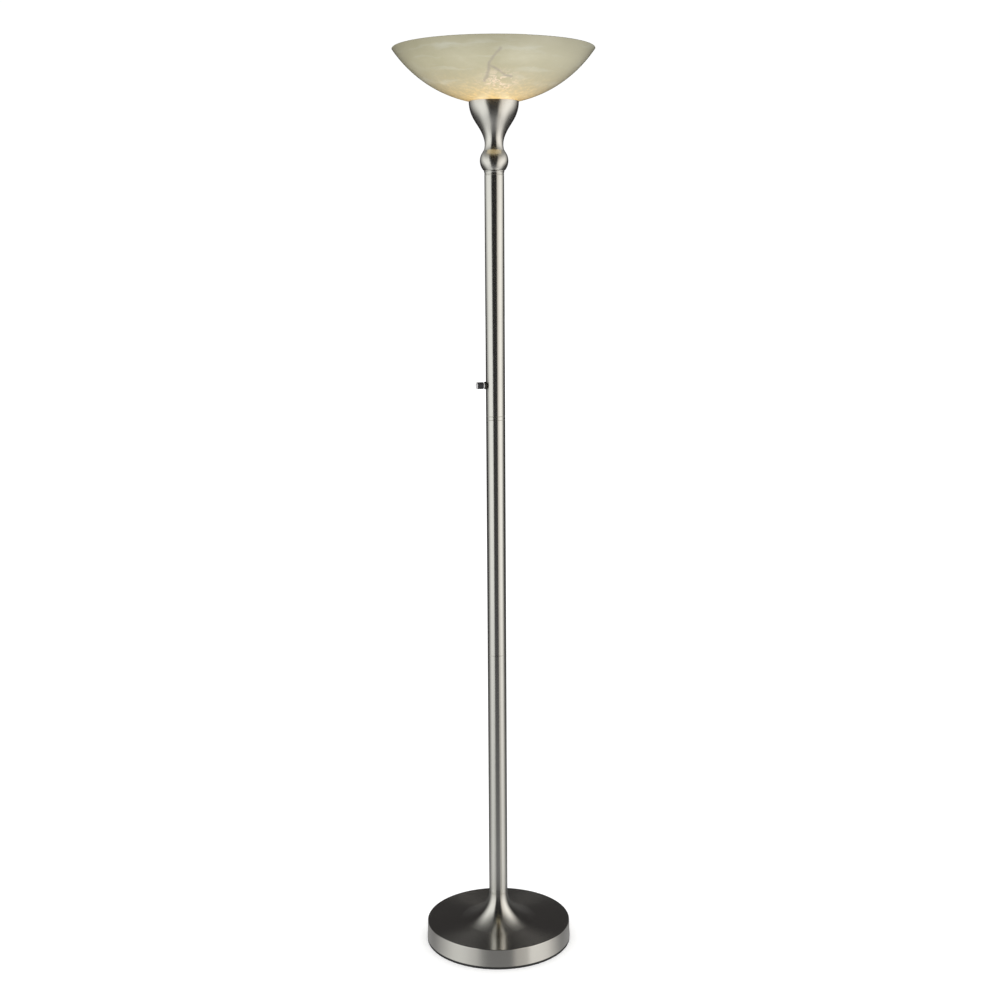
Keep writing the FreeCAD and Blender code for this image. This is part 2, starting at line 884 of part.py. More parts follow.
def dimmer_terminals():
    pair = []
    for side in (-1, 1):
        middle = V(dimmer_middle_x, 0, knob_z + side * (dimmer_radius + 0.2 + block / 2))
        corner = middle - V(block / 2, block / 2, block / 2)
        pair.append(Part.makeBox(block, block, block, corner))
    return Part.makeCompound(pair)


def dimmer_bushing():
    bore = dimmer_shaft_radius + running_gap
    return to_knob(ring(bore, dimmer_bushing_radius, dimmer_front, bushing_end))


def dimmer_washer():
    bore = dimmer_bushing_radius + thread_gap
    return to_knob(ring(bore, dimmer_washer_radius, press_gap, nut_low))


def dimmer_nut():
    nut = hexagon(dimmer_nut_flats, nut_low, dimmer_nut_thickness)
    bore = Part.makeCylinder(dimmer_bushing_radius + thread_gap, 20, V(0, 0, nut_low - 5))
    return to_knob(nut.cut(bore))


def dimmer_shaft():
    low = dimmer_front - shaft_reach
    high = cap_low - 1.0
    return to_knob(ring(0, dimmer_shaft_radius, low, high))


def knob_band():
    """The bright skirt of the knob, hollowed to clear the bushing's end."""
    hollow = dimmer_bushing_radius + 0.5
    return to_knob(bevelled_ring(hollow, knob_band_radius, band_low, grip_low, 0.2))


def knob_grip():
    bore = dimmer_shaft_radius + press_gap
    outer = knob_radius
    outline = [
        (bore, grip_low),
        (outer - 0.4, grip_low),
        (outer, grip_low + 0.4),
        (outer, cap_low - 0.4),
        (outer - 0.4, cap_low),
        (0, cap_low),
        (0, cap_low - 0.9),
        (bore, cap_low - 0.9),
    ]
    return to_knob(turned(outline))


def knob_cap():
    outer = knob_cap_radius
    high = cap_low + knob_cap_thickness
    outline = [(0, cap_low), (outer, cap_low), (outer, high - 0.3), (outer - 0.3, high), (0, high)]
    return to_knob(turned(outline))


# ---- leads ---------------------------------------------------------------------------------
bypass_x = (dimmer_back_x + pole_bore) / 2
lead_top_z = stem_top_z + 1.5


def lead_from_base(side):
    """The first points of a lead: out of its connector, into the nipple's lower end."""
    return [
        V(side * connector_spacing / 2, connector_y, lead_z),
        V(side * connector_spacing / 2, connector_y - 12, lead_z),
        V(side * lead_offset, 30, lead_z),
        V(side * lead_offset, 0, lead_z),
    ]


def lead_to_socket(side):
    """The last points of a lead: out of the stem nipple, up to its terminal."""
    return [
        V(side * lead_offset, 0, lead_top_z),
        V(side * terminal_offset, 0, terminal_z - 6.0),
        V(side * terminal_offset, 0, terminal_z),
    ]


def line_lead():
    points = lead_from_base(-1) + [
        V(-lead_offset, 0, knob_z - dimmer_radius - 28),
        V(dimmer_middle_x, 0, knob_z - dimmer_radius - 14),
        V(dimmer_middle_x, 0, knob_z - dimmer_radius - 3.2),
    ]
    return wire_along(points, lead_radius, lead_bend)


def neutral_lead():
    points = lead_from_base(1) + [
        V(lead_offset, 0, knob_z - dimmer_radius - 32),
        V(bypass_x, 0, knob_z - dimmer_radius - 12),
        V(bypass_x, 0, knob_z + dimmer_radius + 12),
        V(lead_offset, 0, knob_z + dimmer_radius + 32),
    ] + lead_to_socket(1)
    return wire_along(points, lead_radius, lead_bend)


def switched_lead():
    points = [
        V(dimmer_middle_x, 0, knob_z + dimmer_radius + 3.2),
        V(dimmer_middle_x, 0, knob_z + dimmer_radius + 14),
        V(-lead_offset, 0, knob_z + dimmer_radius + 28),
    ] + lead_to_socket(-1)
    return wire_along(points, lead_radius, lead_bend)


# ---- every node ----------------------------------------------------------------------------
os.makedirs("parts", exist_ok=True)

save("base_pad", base_pad())
save("base_weight", base_weight())
save("base_cover", base_cover())
save("base_nipple", hollow_nipple(base_nipple_z, foot_ring_top_z + spigot_length - 2))
save("base_lock_washer", flat_washer(weight_recess_z - washer_thickness))
save("base_lock_nut", lock_nut(weight_recess_z - washer_thickness - nut_thickness))
save("cord_bushing", cord_bushing())
save("wire_connectors", wire_connectors())
save("foot_coupling", shouldered_coupling(trumpet_top_z, foot_ring_height, True))
save("lower_tube", pole_tube(foot_ring_top_z, lower_joint_z))
save("middle_tube", pole_tube(lower_joint_z, joint_ring_z))
save("joint_coupling", shouldered_coupling(joint_ring_z, joint_ring_height, True))
save("upper_tube", upper_tube())
save("tube_inserts", tube_inserts())
save("joint_nipples", joint_nipples())
save("neck_coupling", shouldered_coupling(neck_ring_z, neck_ring_height, False))
save("neck_collar", neck_collar())
save("neck_ball", neck_ball())
save("shade_cup", shade_cup())
save("stem_nipple", hollow_nipple(stem_bottom_z, stem_top_z))
save("stem_washer", flat_washer(ball_top_z + cup_sheet))
save("stem_nut", lock_nut(ball_top_z + cup_sheet + washer_thickness))
save("socket_base", socket_base())
save("socket_screws", socket_screws())
save("socket_body", socket_body())
save("socket_shell", socket_shell())
save("socket_contact", socket_contact())
save("socket_terminals", socket_terminals())
save("shade_gaskets", shade_gaskets())
save("shade_ring", shade_ring())
save("glass_shade", glass_shade())
save("cup_gasket", cup_gasket())
save("bulb_globe", bulb_globe())
save("bulb_cap", bulb_cap())
save("bulb_insulator", bulb_insulator())
save("bulb_tip", bulb_tip())
save("bulb_stem", bulb_stem())
save("bulb_filament", bulb_filament())
save("dimmer_body", dimmer_body())
save("dimmer_terminals", dimmer_terminals())
save("dimmer_bushing", dimmer_bushing())
save("dimmer_washer", dimmer_washer())
save("dimmer_nut", dimmer_nut())
save("dimmer_shaft", dimmer_shaft())
save("knob_band", knob_band())
save("knob_grip", knob_grip())
save("knob_cap", knob_cap())
save("line_lead", line_lead())
save("neutral_lead", neutral_lead())
save("switched_lead", switched_lead())
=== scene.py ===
import math

import bpy
from mathutils import Matrix, Vector


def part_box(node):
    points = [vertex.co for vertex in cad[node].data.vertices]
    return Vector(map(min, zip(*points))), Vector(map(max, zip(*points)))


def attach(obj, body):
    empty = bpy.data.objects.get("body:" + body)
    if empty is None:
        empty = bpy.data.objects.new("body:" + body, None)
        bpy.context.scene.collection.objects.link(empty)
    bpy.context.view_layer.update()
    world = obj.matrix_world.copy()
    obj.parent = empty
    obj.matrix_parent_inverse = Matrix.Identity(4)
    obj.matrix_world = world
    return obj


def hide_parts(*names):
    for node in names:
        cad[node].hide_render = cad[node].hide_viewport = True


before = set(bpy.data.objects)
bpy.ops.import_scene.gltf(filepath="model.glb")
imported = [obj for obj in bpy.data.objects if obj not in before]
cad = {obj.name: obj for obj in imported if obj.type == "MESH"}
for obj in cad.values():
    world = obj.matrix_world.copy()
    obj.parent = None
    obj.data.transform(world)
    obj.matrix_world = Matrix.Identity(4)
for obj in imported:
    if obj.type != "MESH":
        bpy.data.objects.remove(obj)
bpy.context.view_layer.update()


# ---- camera ---------------------------------------------------------------------------------
# A viewer's eye nearly three metres from the lamp, level with the upper part of the pole. It
# stands a little to the left of the lamp's front-to-back line, so the end of the knob shows.
view_turn = math.radians(-17.0)
eye_distance = 2.9211
eye_height = 1.4175
eye_dip = math.radians(9.47)
eye_aside = math.radians(-0.153)
eye_roll = -0.0054

camera_data = bpy.data.cameras.new("camera")
camera_data.sensor_width = 36.0
camera_data.lens = 53.24
camera = bpy.data.objects.new("camera", camera_data)
bpy.context.scene.collection.objects.link(camera)
eye = Vector((math.sin(view_turn), -math.cos(view_turn), 0)) * eye_distance
eye.z = eye_height
heading = Matrix.Rotation(view_turn + eye_aside, 4, "Z")
dip = Matrix.Rotation(math.pi / 2 - eye_dip, 4, "X")
camera.matrix_world = Matrix.Translation(eye) @ heading @ dip @ Matrix.Rotation(eye_roll, 4, "Z")
bpy.context.scene.camera = camera
bpy.context.scene.view_settings.view_transform = "Standard"


# ---- studio ---------------------------------------------------------------------------------
# An even white room and a plain white floor. Bright metal shows what stands round it, so gloss
# alone also sees a surround: a lit screen left and right of the viewer, and dark cloth between
# and behind them, from below the floor to above the lamp.
floor_size = 60.0
surround_radius = 2.0
surround_height = 0.6
room_strength = 1.03
screen_lean = 0.47              # how far the screens lean over the lamp
floor_glow = 0.2


def add(tree, kind, inputs, **settings):
    """Adds a shader node. Each input gets a plain value, or another node's output to follow."""
    made = tree.nodes.new("ShaderNode" + kind)
    for name, value in settings.items():
        setattr(made, name, value)
    for name, value in inputs.items():
        if isinstance(value, bpy.types.NodeSocket):
            tree.links.new(value, made.inputs[name])
        else:
            made.inputs[name].default_value = value
    return made


def maths(tree, operation, first, second=0.0, clamp=False):
    made = add(tree, "Math", {0: first, 1: second}, operation=operation, use_clamp=clamp)
    return made.outputs[0]


def ramp(tree, share, stops, soft="LINEAR"):
    """A colour ramp through (place, colour) stops."""
    made = add(tree, "ValToRGB", {"Fac": share})
    scale = made.color_ramp
    scale.interpolation = soft
    while len(scale.elements) < len(stops):
        scale.elements.new(0.5)
    for element, (place, colour) in zip(scale.elements, stops):
        element.position = place
        element.color = (*colour, 1.0)
    return made.outputs["Color"]


def between(tree, share, first, second):
    """A colour that goes from the first to the second as the share goes from 0 to 1."""
    made = add(tree, "Mix", {0: share, 6: first, 7: second}, data_type="RGBA")
    return made.outputs[2]


def mix(tree, way, first, second):
    """Two colours multiplied or added."""
    made = add(tree, "Mix", {0: 1.0, 6: first, 7: second}, data_type="RGBA", blend_type=way)
    return made.outputs[2]


def shader_of(material):
    return material.node_tree.nodes["Principled BSDF"]


def new_material(name):
    material = bpy.data.materials.new(name)
    material.use_nodes = True
    tree = material.node_tree
    return material, tree, shader_of(material)


def nothing_selected():
    bpy.ops.object.select_all(action="DESELECT")


room = bpy.data.worlds.new("room")
bpy.context.scene.world = room
room.use_nodes = True
room.node_tree.nodes["Background"].inputs["Color"].default_value = (1.0, 1.0, 1.0, 1.0)
room.node_tree.nodes["Background"].inputs["Strength"].default_value = room_strength
room.cycles_visibility.glossy = False

nothing_selected()
bpy.ops.mesh.primitive_plane_add(size=floor_size)
floor = bpy.context.object
floor.name = "floor"
floor_paint, tree, shader = new_material("floor_paint")
place = add(tree, "TexCoord", {}).outputs["Object"]
patches = add(tree, "TexNoise", {"Vector": place, "Scale": 1.5, "Detail": 3.0}).outputs["Fac"]
pale = (0.96, 0.96, 0.96, 1.0)
tree.links.new(between(tree, patches, pale, (0.98, 0.98, 0.98, 1.0)), shader.inputs["Base Color"])
shader.inputs["Roughness"].default_value = 1.0
shader.inputs["Specular IOR Level"].default_value = 0.0
shader.inputs["Emission Color"].default_value = (1.0, 1.0, 1.0, 1.0)
shader.inputs["Emission Strength"].default_value = floor_glow
floor.data.materials.append(floor_paint)
floor.visible_glossy = False

nothing_selected()
bpy.ops.mesh.primitive_uv_sphere_add(segments=64, ring_count=32, radius=surround_radius)
surround = bpy.context.object
surround.name = "surround"
surround.location.z = surround_height
bpy.ops.object.shade_smooth()
screens = bpy.data.materials.new("screens")
screens.use_nodes = True
tree = screens.node_tree
tree.nodes.clear()
place = add(tree, "TexCoord", {}).outputs["Object"]
facing = add(tree, "Mapping", {"Vector": place, "Rotation": (0.0, 0.0, -view_turn)})
split = add(tree, "SeparateXYZ", {"Vector": facing.outputs["Vector"]})
rise = maths(tree, "DIVIDE", split.outputs["Z"], surround_radius)
back = maths(tree, "MULTIPLY", split.outputs["Y"], -1.0)
bearing = maths(tree, "ARCTAN2", split.outputs["X"], back)
lean = maths(tree, "MULTIPLY", maths(tree, "MAXIMUM", rise, 0.0), screen_lean)
bearing = maths(tree, "MULTIPLY", bearing, maths(tree, "SUBTRACT", 1.0, lean))
turn_share = maths(tree, "ADD", maths(tree, "DIVIDE", bearing, 2 * math.pi), 0.5)
height_share = maths(tree, "ADD", maths(tree, "MULTIPLY", rise, 0.5), 0.5)


def bearing_stop(degrees, tone):
    return (degrees / 360 + 0.5, tone)


def grey_stop(share, tone):
    return (share, (tone, tone, tone))


cloth = (0.028, 0.028, 0.0285)
behind = (0.042, 0.040, 0.040)
left_screen = (1.20, 1.21, 1.17)
right_near = (0.92, 0.87, 0.79)
right_screen = (1.41, 1.38, 1.31)
right_low = (0.50, 0.48, 0.44)
round_tone = ramp(tree, turn_share, [
    bearing_stop(-180, behind),
    bearing_stop(-108, behind),
    bearing_stop(-68, left_screen),
    bearing_stop(-32, left_screen),
    bearing_stop(-24, cloth),
    bearing_stop(19, cloth),
    bearing_stop(28, right_near),
    bearing_stop(52, right_screen),
    bearing_stop(68, right_screen),
    bearing_stop(102, behind),
    bearing_stop(180, behind),
])
# Near the floor the screens' edges are further off and softer.
low_round_tone = ramp(tree, turn_share, [
    bearing_stop(-180, behind),
    bearing_stop(-120, behind),
    bearing_stop(-76, left_screen),
    bearing_stop(-58, left_screen),
    bearing_stop(-15, cloth),
    bearing_stop(19, cloth),
    bearing_stop(27, right_low),
    bearing_stop(44, right_low),
    bearing_stop(50, right_screen),
    bearing_stop(80, right_screen),
    bearing_stop(114, behind),
    bearing_stop(180, behind),
])
well_up = add(tree, "MapRange", {"Value": height_share, "From Min": 0.22, "From Max": 0.42})
round_tone = between(tree, well_up.outputs["Result"], low_round_tone, round_tone)
up_tone = ramp(tree, height_share, [
    grey_stop(0.12, 0.62),
    grey_stop(0.17, 0.30),
    grey_stop(0.23, 0.42),
    grey_stop(0.305, 0.64),
    grey_stop(0.445, 0.90),
    grey_stop(0.60, 1.0),
    grey_stop(0.78, 1.0),
    grey_stop(0.85, 0.75),
    grey_stop(0.90, 0.42),
    grey_stop(0.95, 0.15),
    grey_stop(1.0, 0.05),
])
floor_tone = ramp(tree, height_share, [
    grey_stop(0.12, 0.30),
    grey_stop(0.18, 0.44),
    grey_stop(0.22, 0.15),
    grey_stop(0.305, 0.10),
    grey_stop(0.445, 0.03),
    grey_stop(0.60, 0.0),
])
tone = mix(tree, "ADD", mix(tree, "MULTIPLY", round_tone, up_tone), floor_tone)
glow = add(tree, "Emission", {"Color": tone, "Strength": 1.0})
add(tree, "OutputMaterial", {"Surface": glow.outputs["Emission"]})
screens.cycles.emission_sampling = "NONE"
surround.data.materials.append(screens)
surround.visible_camera = False
surround.visible_diffuse = False
surround.visible_transmission = False
surround.visible_volume_scatter = False
surround.visible_shadow = False


# ---- pad under the base ---------------------------------------------------------------------
# A ring of black closed-cell foam rubber, five millimetres thick, glued under the weight. Its
# cut edge is the thin black line below the bright skirt, and it keeps metal off the floor.
def paint(material, *names):
    """Gives CAD nodes their finish."""
    for name in names:
        cad[name].material_slots[0].material = material


def new_group(name, inputs, outputs):
    """An empty node group with named sockets: its tree, its entry and its exit."""
    tree = bpy.data.node_groups.new(name, "ShaderNodeTree")
    for socket, kind in inputs:
        tree.interface.new_socket(name=socket, in_out="INPUT", socket_type="NodeSocket" + kind)
    for socket in outputs:
        tree.interface.new_socket(name=socket, in_out="OUTPUT", socket_type="NodeSocketFloat")
    return tree, tree.nodes.new("NodeGroupInput").outputs, tree.nodes.new("NodeGroupOutput").inputs


def use(tree, group, inputs):
    """Places a node group in a material."""
    return add(tree, "Group", inputs, node_tree=group).outputs


# Moulded and cast surfaces: a fine even grain, and slow mottling from mould and handling.
moulded, given, wanted = new_group("moulded", [("Place", "Vector"), ("Grain", "Float")], ["Height", "Mottle"])
fine = add(moulded, "TexNoise", {"Vector": given["Place"], "Scale": given["Grain"], "Detail": 4.0})
slow = add(moulded, "TexNoise", {"Vector": given["Place"], "Scale": 38.0, "Detail": 3.0})
moulded.links.new(fine.outputs["Fac"], wanted["Height"])
moulded.links.new(slow.outputs["Fac"], wanted["Mottle"])


def moulded_finish(name, dark, light, grain, rough, smooth, depth):
    """A non-metal finish: two close colours, a roughness range and a fine raised grain."""
    material, tree, shader = new_material(name)
    place = add(tree, "TexCoord", {}).outputs["Object"]
    surface = use(tree, moulded, {"Place": place, "Grain": grain})
    tree.links.new(between(tree, surface["Mottle"], (*dark, 1.0), (*light, 1.0)), shader.inputs["Base Color"])
    sheen = add(tree, "MapRange", {"Value": surface["Mottle"], "To Min": smooth, "To Max": rough})
    tree.links.new(sheen.outputs["Result"], shader.inputs["Roughness"])
    raised = add(tree, "Bump", {"Height": surface["Height"], "Distance": depth})
    tree.links.new(raised.outputs["Normal"], shader.inputs["Normal"])
    return material


foam_rubber = moulded_finish(
    "foam_rubber", (0.012, 0.012, 0.012), (0.03, 0.03, 0.03),
    grain=900.0, rough=0.95, smooth=0.75, depth=0.0004,
)
paint(foam_rubber, "base_pad")


# ---- weight ---------------------------------------------------------------------------------
# A sand-cast iron disc dipped in black paint, hidden under the cover. It keeps the tall lamp
# upright, carries the cover on its rib and holds the pole's nipple in its boss.
cast_iron = moulded_finish(
    "cast_iron", (0.02, 0.02, 0.02), (0.06, 0.058, 0.055),
    grain=420.0, rough=0.75, smooth=0.5, depth=0.0009,
)
paint(cast_iron, "base_weight")


# ---- base cover -----------------------------------------------------------------------------
# One sheet of steel spun on a lathe: trumpet, gently falling disc, rounded rim and skirt. It
# was brushed while it turned, so the lines run round it, then plated with satin nickel.

# Lathe lines run round an axis: fast across, slow along, with a haze from handling.
line_drift = 14.0               # how fast the pattern changes along a line
lathe_lines, given, wanted = new_group(
    "lathe_lines", [("Place", "Vector"), ("Lines", "Float")], ["Height", "Haze"]
)
split = add(lathe_lines, "SeparateXYZ", {"Vector": given["Place"]})
across = add(lathe_lines, "CombineXYZ", {"X": split.outputs["X"], "Y": split.outputs["Y"]})
radius = add(lathe_lines, "VectorMath", {0: across.outputs["Vector"]}, operation="LENGTH")
fast_radius = maths(lathe_lines, "MULTIPLY", radius.outputs["Value"], given["Lines"])
fast_height = maths(lathe_lines, "MULTIPLY", split.outputs["Z"], given["Lines"])
along = maths(lathe_lines, "ADD", split.outputs["X"], split.outputs["Y"])
along = maths(lathe_lines, "MULTIPLY", along, line_drift)
scratch_place = add(lathe_lines, "CombineXYZ", {"X": fast_radius, "Y": fast_height, "Z": along})
scratches = add(
    lathe_lines, "TexNoise", {"Vector": scratch_place.outputs["Vector"], "Scale": 1.0, "Detail": 3.0}
)
haze = add(lathe_lines, "TexNoise", {"Vector": given["Place"], "Scale": 11.0, "Detail": 4.0})
lathe_lines.links.new(scratches.outputs["Fac"], wanted["Height"])
lathe_lines.links.new(haze.outputs["Fac"], wanted["Haze"])


def lathe_metal(name, dark, light, lines, smooth, rough, depth, stretch=0.0, turned_at=None):
    """A metal brushed as it turned, about the lamp's axis or about a level one along X at a point.

    Across its lines a highlight spreads by the stretch."""
    material, tree, shader = new_material(name)
    place = add(tree, "TexCoord", {}).outputs["Object"]
    if turned_at is not None:
        moved = add(tree, "VectorMath", {0: place, 1: turned_at}, operation="SUBTRACT").outputs[0]
        upright = (0.0, math.pi / 2, 0.0)
        place = add(tree, "Mapping", {"Vector": moved, "Rotation": upright}).outputs["Vector"]
    surface = use(tree, lathe_lines, {"Place": place, "Lines": lines})
    tree.links.new(between(tree, surface["Haze"], (*dark, 1.0), (*light, 1.0)), shader.inputs["Base Color"])
    shader.inputs["Metallic"].default_value = 1.0
    sheen = add(tree, "MapRange", {"Value": surface["Height"], "To Min": smooth, "To Max": rough})
    tree.links.new(sheen.outputs["Result"], shader.inputs["Roughness"])
    raised = add(tree, "Bump", {"Height": surface["Height"], "Distance": depth, "Strength": 0.08})
    tree.links.new(raised.outputs["Normal"], shader.inputs["Normal"])
    if stretch:
        shader.inputs["Anisotropic"].default_value = stretch
        shader.inputs["Anisotropic Rotation"].default_value = 0.25
        axis = "Z" if turned_at is None else "X"
        lines_run = add(tree, "Tangent", {}, direction_type="RADIAL", axis=axis)
        tree.links.new(lines_run.outputs["Tangent"], shader.inputs["Tangent"])
    return material


spun_nickel = lathe_metal(
    "spun_nickel", (0.60, 0.585, 0.55), (0.70, 0.685, 0.65),
    lines=2600.0, smooth=0.20, rough=0.28, depth=0.00004, stretch=0.95,
)
paint(spun_nickel, "base_cover", "neck_ball", "shade_cup")


# ---- fixings --------------------------------------------------------------------------------
# Steel hardware with bright zinc plate: hollow threaded nipples with their washers and nuts,
# the plugs pressed in the tubes, and the lamp holder's base. The cord's inlet bush and the ring
# that clamps the glass are moulded in black, the twist-on wire connectors in orange.
zinc_plate = lathe_metal(
    "zinc_plate", (0.60, 0.61, 0.60), (0.70, 0.69, 0.64),
    lines=1800.0, smooth=0.28, rough=0.42, depth=0.00008,
)
paint(zinc_plate, "base_nipple", "base_lock_washer", "base_lock_nut", "tube_inserts", "joint_nipples")
paint(zinc_plate, "stem_nipple", "stem_washer", "stem_nut", "socket_base", "socket_screws")

black_plastic = moulded_finish(
    "black_plastic", (0.018, 0.018, 0.018), (0.03, 0.03, 0.03),
    grain=1500.0, rough=0.6, smooth=0.42, depth=0.0001,
)
paint(black_plastic, "cord_bushing", "shade_ring")

orange_plastic = moulded_finish(
    "orange_plastic", (0.72, 0.21, 0.03), (0.82, 0.27, 0.05),
    grain=1200.0, rough=0.45, smooth=0.3, depth=0.0001,
)
paint(orange_plastic, "wire_connectors")


# ---- pole -----------------------------------------------------------------------------------
# Three lengths of inch-and-a-half steel tube, belt-brushed round and plated with satin nickel.
# Turned couplings show as thin rings at its foot, its upper joint and its top.
brushed_nickel = lathe_metal(
    "brushed_nickel", (0.62, 0.61, 0.58), (0.70, 0.69, 0.655),
    lines=2400.0, smooth=0.18, rough=0.26, depth=0.00004, stretch=0.95,
)
paint(brushed_nickel, "foot_coupling", "lower_tube", "middle_tube", "joint_coupling", "upper_tube")
paint(brushed_nickel, "neck_coupling", "neck_collar")


# ---- dimmer and its nut ---------------------------------------------------------------------
# A sealed rotary dimmer sits inside the pole. Its brass bushing comes through a hole in the
# tube, where a blackened washer and hexagon nut hold it.
dimmer_case = moulded_finish(
    "dimmer_case", (0.03, 0.03, 0.03), (0.055, 0.055, 0.055),
    grain=1400.0, rough=0.6, smooth=0.45, depth=0.0001,
)
paint(dimmer_case, "dimmer_body")
brass = lathe_metal(
    "brass", (0.66, 0.47, 0.19), (0.76, 0.58, 0.28),
    lines=1500.0, smooth=0.25, rough=0.4, depth=0.00006,
)
paint(brass, "dimmer_terminals", "dimmer_bushing", "dimmer_shaft", "socket_contact", "socket_terminals")
black_oxide = lathe_metal(
    "black_oxide", (0.05, 0.05, 0.048), (0.09, 0.088, 0.08),
    lines=1500.0, smooth=0.3, rough=0.5, depth=0.00006,
)
paint(black_oxide, "dimmer_washer", "dimmer_nut")


# ---- dimmer knob ----------------------------------------------------------------------------
# A push-on knob: a bright turned band at its foot, a black moulded grip with straight knurls,
# and a pressed-in aluminium cap, faced off on the lathe with two fine grooves.
grip_low, grip_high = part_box("knob_grip")
cap_low, cap_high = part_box("knob_cap")
knob_middle = (grip_low + grip_high) / 2
knurl_sides = 96
knurl_depth = 0.0003
knurl_slope = 0.00004
grip_foot_round = 0.0004
grip_end_round = 0.00015
grip_radius = (grip_high.y - grip_low.y) / 2
cap_step = 0.00012              # the cap is this much smaller than the grip
cap_radius = grip_radius - cap_step
cap_round = 0.0003
x_axis = 0
z_axis = 2
hair = 1e-6                     # places nearer to each other than this are the same
# Rings of the cap's face, from its edge inwards: each one's width and its step out or in.
cap_rings = [(0.0007, 0.0), (0.00012, -0.00018), (0.00025, 0.0), (0.00012, 0.00018),
             (0.0021, 0.0), (0.00012, -0.00015), (0.0002, 0.0), (0.00012, 0.00015), (0.0012, 0.0)]


def turned_along_x(name, radius, low_x, high_x, sides):
    """A cylinder on the knob's axis between two places along X."""
    nothing_selected()
    bpy.ops.mesh.primitive_cylinder_add(
        vertices=sides, radius=radius, depth=high_x - low_x,
        location=((low_x + high_x) / 2, knob_middle.y, knob_middle.z), rotation=(0.0, math.pi / 2, 0.0)
    )
    piece = bpy.context.object
    piece.name = name
    bpy.ops.object.transform_apply(location=True, rotation=True, scale=True)
    return piece


def edit_faces(piece, wanted):
    """Opens the piece in edit mode with only the wanted faces selected."""
    for face in piece.data.polygons:
        face.select = wanted(face)
    for edge in piece.data.edges:
        edge.select = False
    for corner in piece.data.vertices:
        corner.select = False
    bpy.context.tool_settings.mesh_select_mode = (False, False, True)
    bpy.ops.object.mode_set(mode="EDIT")


def edit_edges(piece, axis, place):
    """Opens the piece in edit mode with only the edges at a place on an axis selected."""
    for face in piece.data.polygons:
        face.select = False
    for corner in piece.data.vertices:
        corner.select = False
    for edge in piece.data.edges:
        ends = [piece.data.vertices[index].co[axis] for index in edge.vertices]
        edge.select = all(abs(end - place) < hair for end in ends)
    bpy.context.tool_settings.mesh_select_mode = (False, True, False)
    bpy.ops.object.mode_set(mode="EDIT")


def finish_shape():
    """Leaves edit mode and smooths all but the piece's sharp edges."""
    bpy.ops.object.mode_set(mode="OBJECT")
    bpy.ops.object.shade_smooth_by_angle(angle=math.radians(30))


grip = turned_along_x("knurled_grip", grip_radius, grip_low.x, grip_high.x, knurl_sides)
edit_edges(grip, x_axis, grip_high.x)
bpy.ops.mesh.bevel(offset=grip_foot_round, segments=3, affect="EDGES")
bpy.ops.object.mode_set(mode="OBJECT")
edit_edges(grip, x_axis, grip_low.x)
bpy.ops.mesh.bevel(offset=grip_end_round, segments=2, affect="EDGES")
bpy.ops.object.mode_set(mode="OBJECT")


def is_groove(face):
    """Every second long face round the grip is sunk."""
    outward = face.center - knob_middle
    step = math.atan2(outward.z, outward.y) / (2 * math.pi) * knurl_sides - 0.5
    is_long = abs(face.normal.x) < 0.05 and face.area > 1e-6
    return is_long and round(step) % 2 == 0


edit_faces(grip, is_groove)
bpy.ops.mesh.inset(thickness=knurl_slope, depth=-knurl_depth, use_individual=True)
finish_shape()
knob_black = moulded_finish(
    "knob_black", (0.018, 0.018, 0.02), (0.045, 0.045, 0.05),
    grain=1800.0, rough=0.5, smooth=0.32, depth=0.0001,
)
grip.data.materials.append(knob_black)
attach(grip, "knob")
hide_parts("knob_grip")

cap = turned_along_x("knob_end_cap", cap_radius, cap_low.x, cap_high.x, knurl_sides)
edit_edges(cap, x_axis, cap_low.x)
bpy.ops.mesh.bevel(offset=cap_round, segments=3, affect="EDGES")
bpy.ops.object.mode_set(mode="OBJECT")
edit_faces(cap, lambda face: face.normal.x < -0.99 and len(face.vertices) == knurl_sides)
for width, sink in cap_rings:
    bpy.ops.mesh.inset(thickness=width, depth=sink)
finish_shape()
knob_light = lathe_metal(
    "knob_light", (0.74, 0.74, 0.75), (0.82, 0.82, 0.82),
    lines=4000.0, smooth=0.28, rough=0.42, depth=0.00004, stretch=0.8, turned_at=knob_middle,
)
# Clear lacquer over a pale anodised face: part metal, part milky.
shader_of(knob_light).inputs["Metallic"].default_value = 0.35
cap.data.materials.append(knob_light)
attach(cap, "knob")
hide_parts("knob_cap")
paint(knob_light, "knob_band")


# ---- lamp holder ----------------------------------------------------------------------------
# A glazed porcelain body with a rolled brass screw shell and a sprung contact, standing on the
# stem. Fibre washers and a soft ring keep the glass off the porcelain and the metal.
porcelain = moulded_finish(
    "porcelain", (0.80, 0.79, 0.75), (0.87, 0.86, 0.82),
    grain=300.0, rough=0.3, smooth=0.15, depth=0.00015,
)
shader_of(porcelain).inputs["Coat Weight"].default_value = 0.6
shader_of(porcelain).inputs["Coat Roughness"].default_value = 0.08
paint(porcelain, "socket_body")

shell_low, shell_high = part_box("socket_shell")
shell_inset = 0.0005
shell_radius = shell_high.x - shell_inset   # where the sheet was rolled narrowest
shell_sheet = 0.0002
shell_hole = 0.0078
shell_swell = 0.00025           # a crest of the thread stands out this far from a trough
shell_from = shell_low.z + 0.004
shell_to = shell_high.z - 0.003
thread_pitch = 0.00363
thread_steps = 12               # short runs in one wave of the thread
thread_sides = 48
weld = 0.00001                  # corners nearer than this are joined


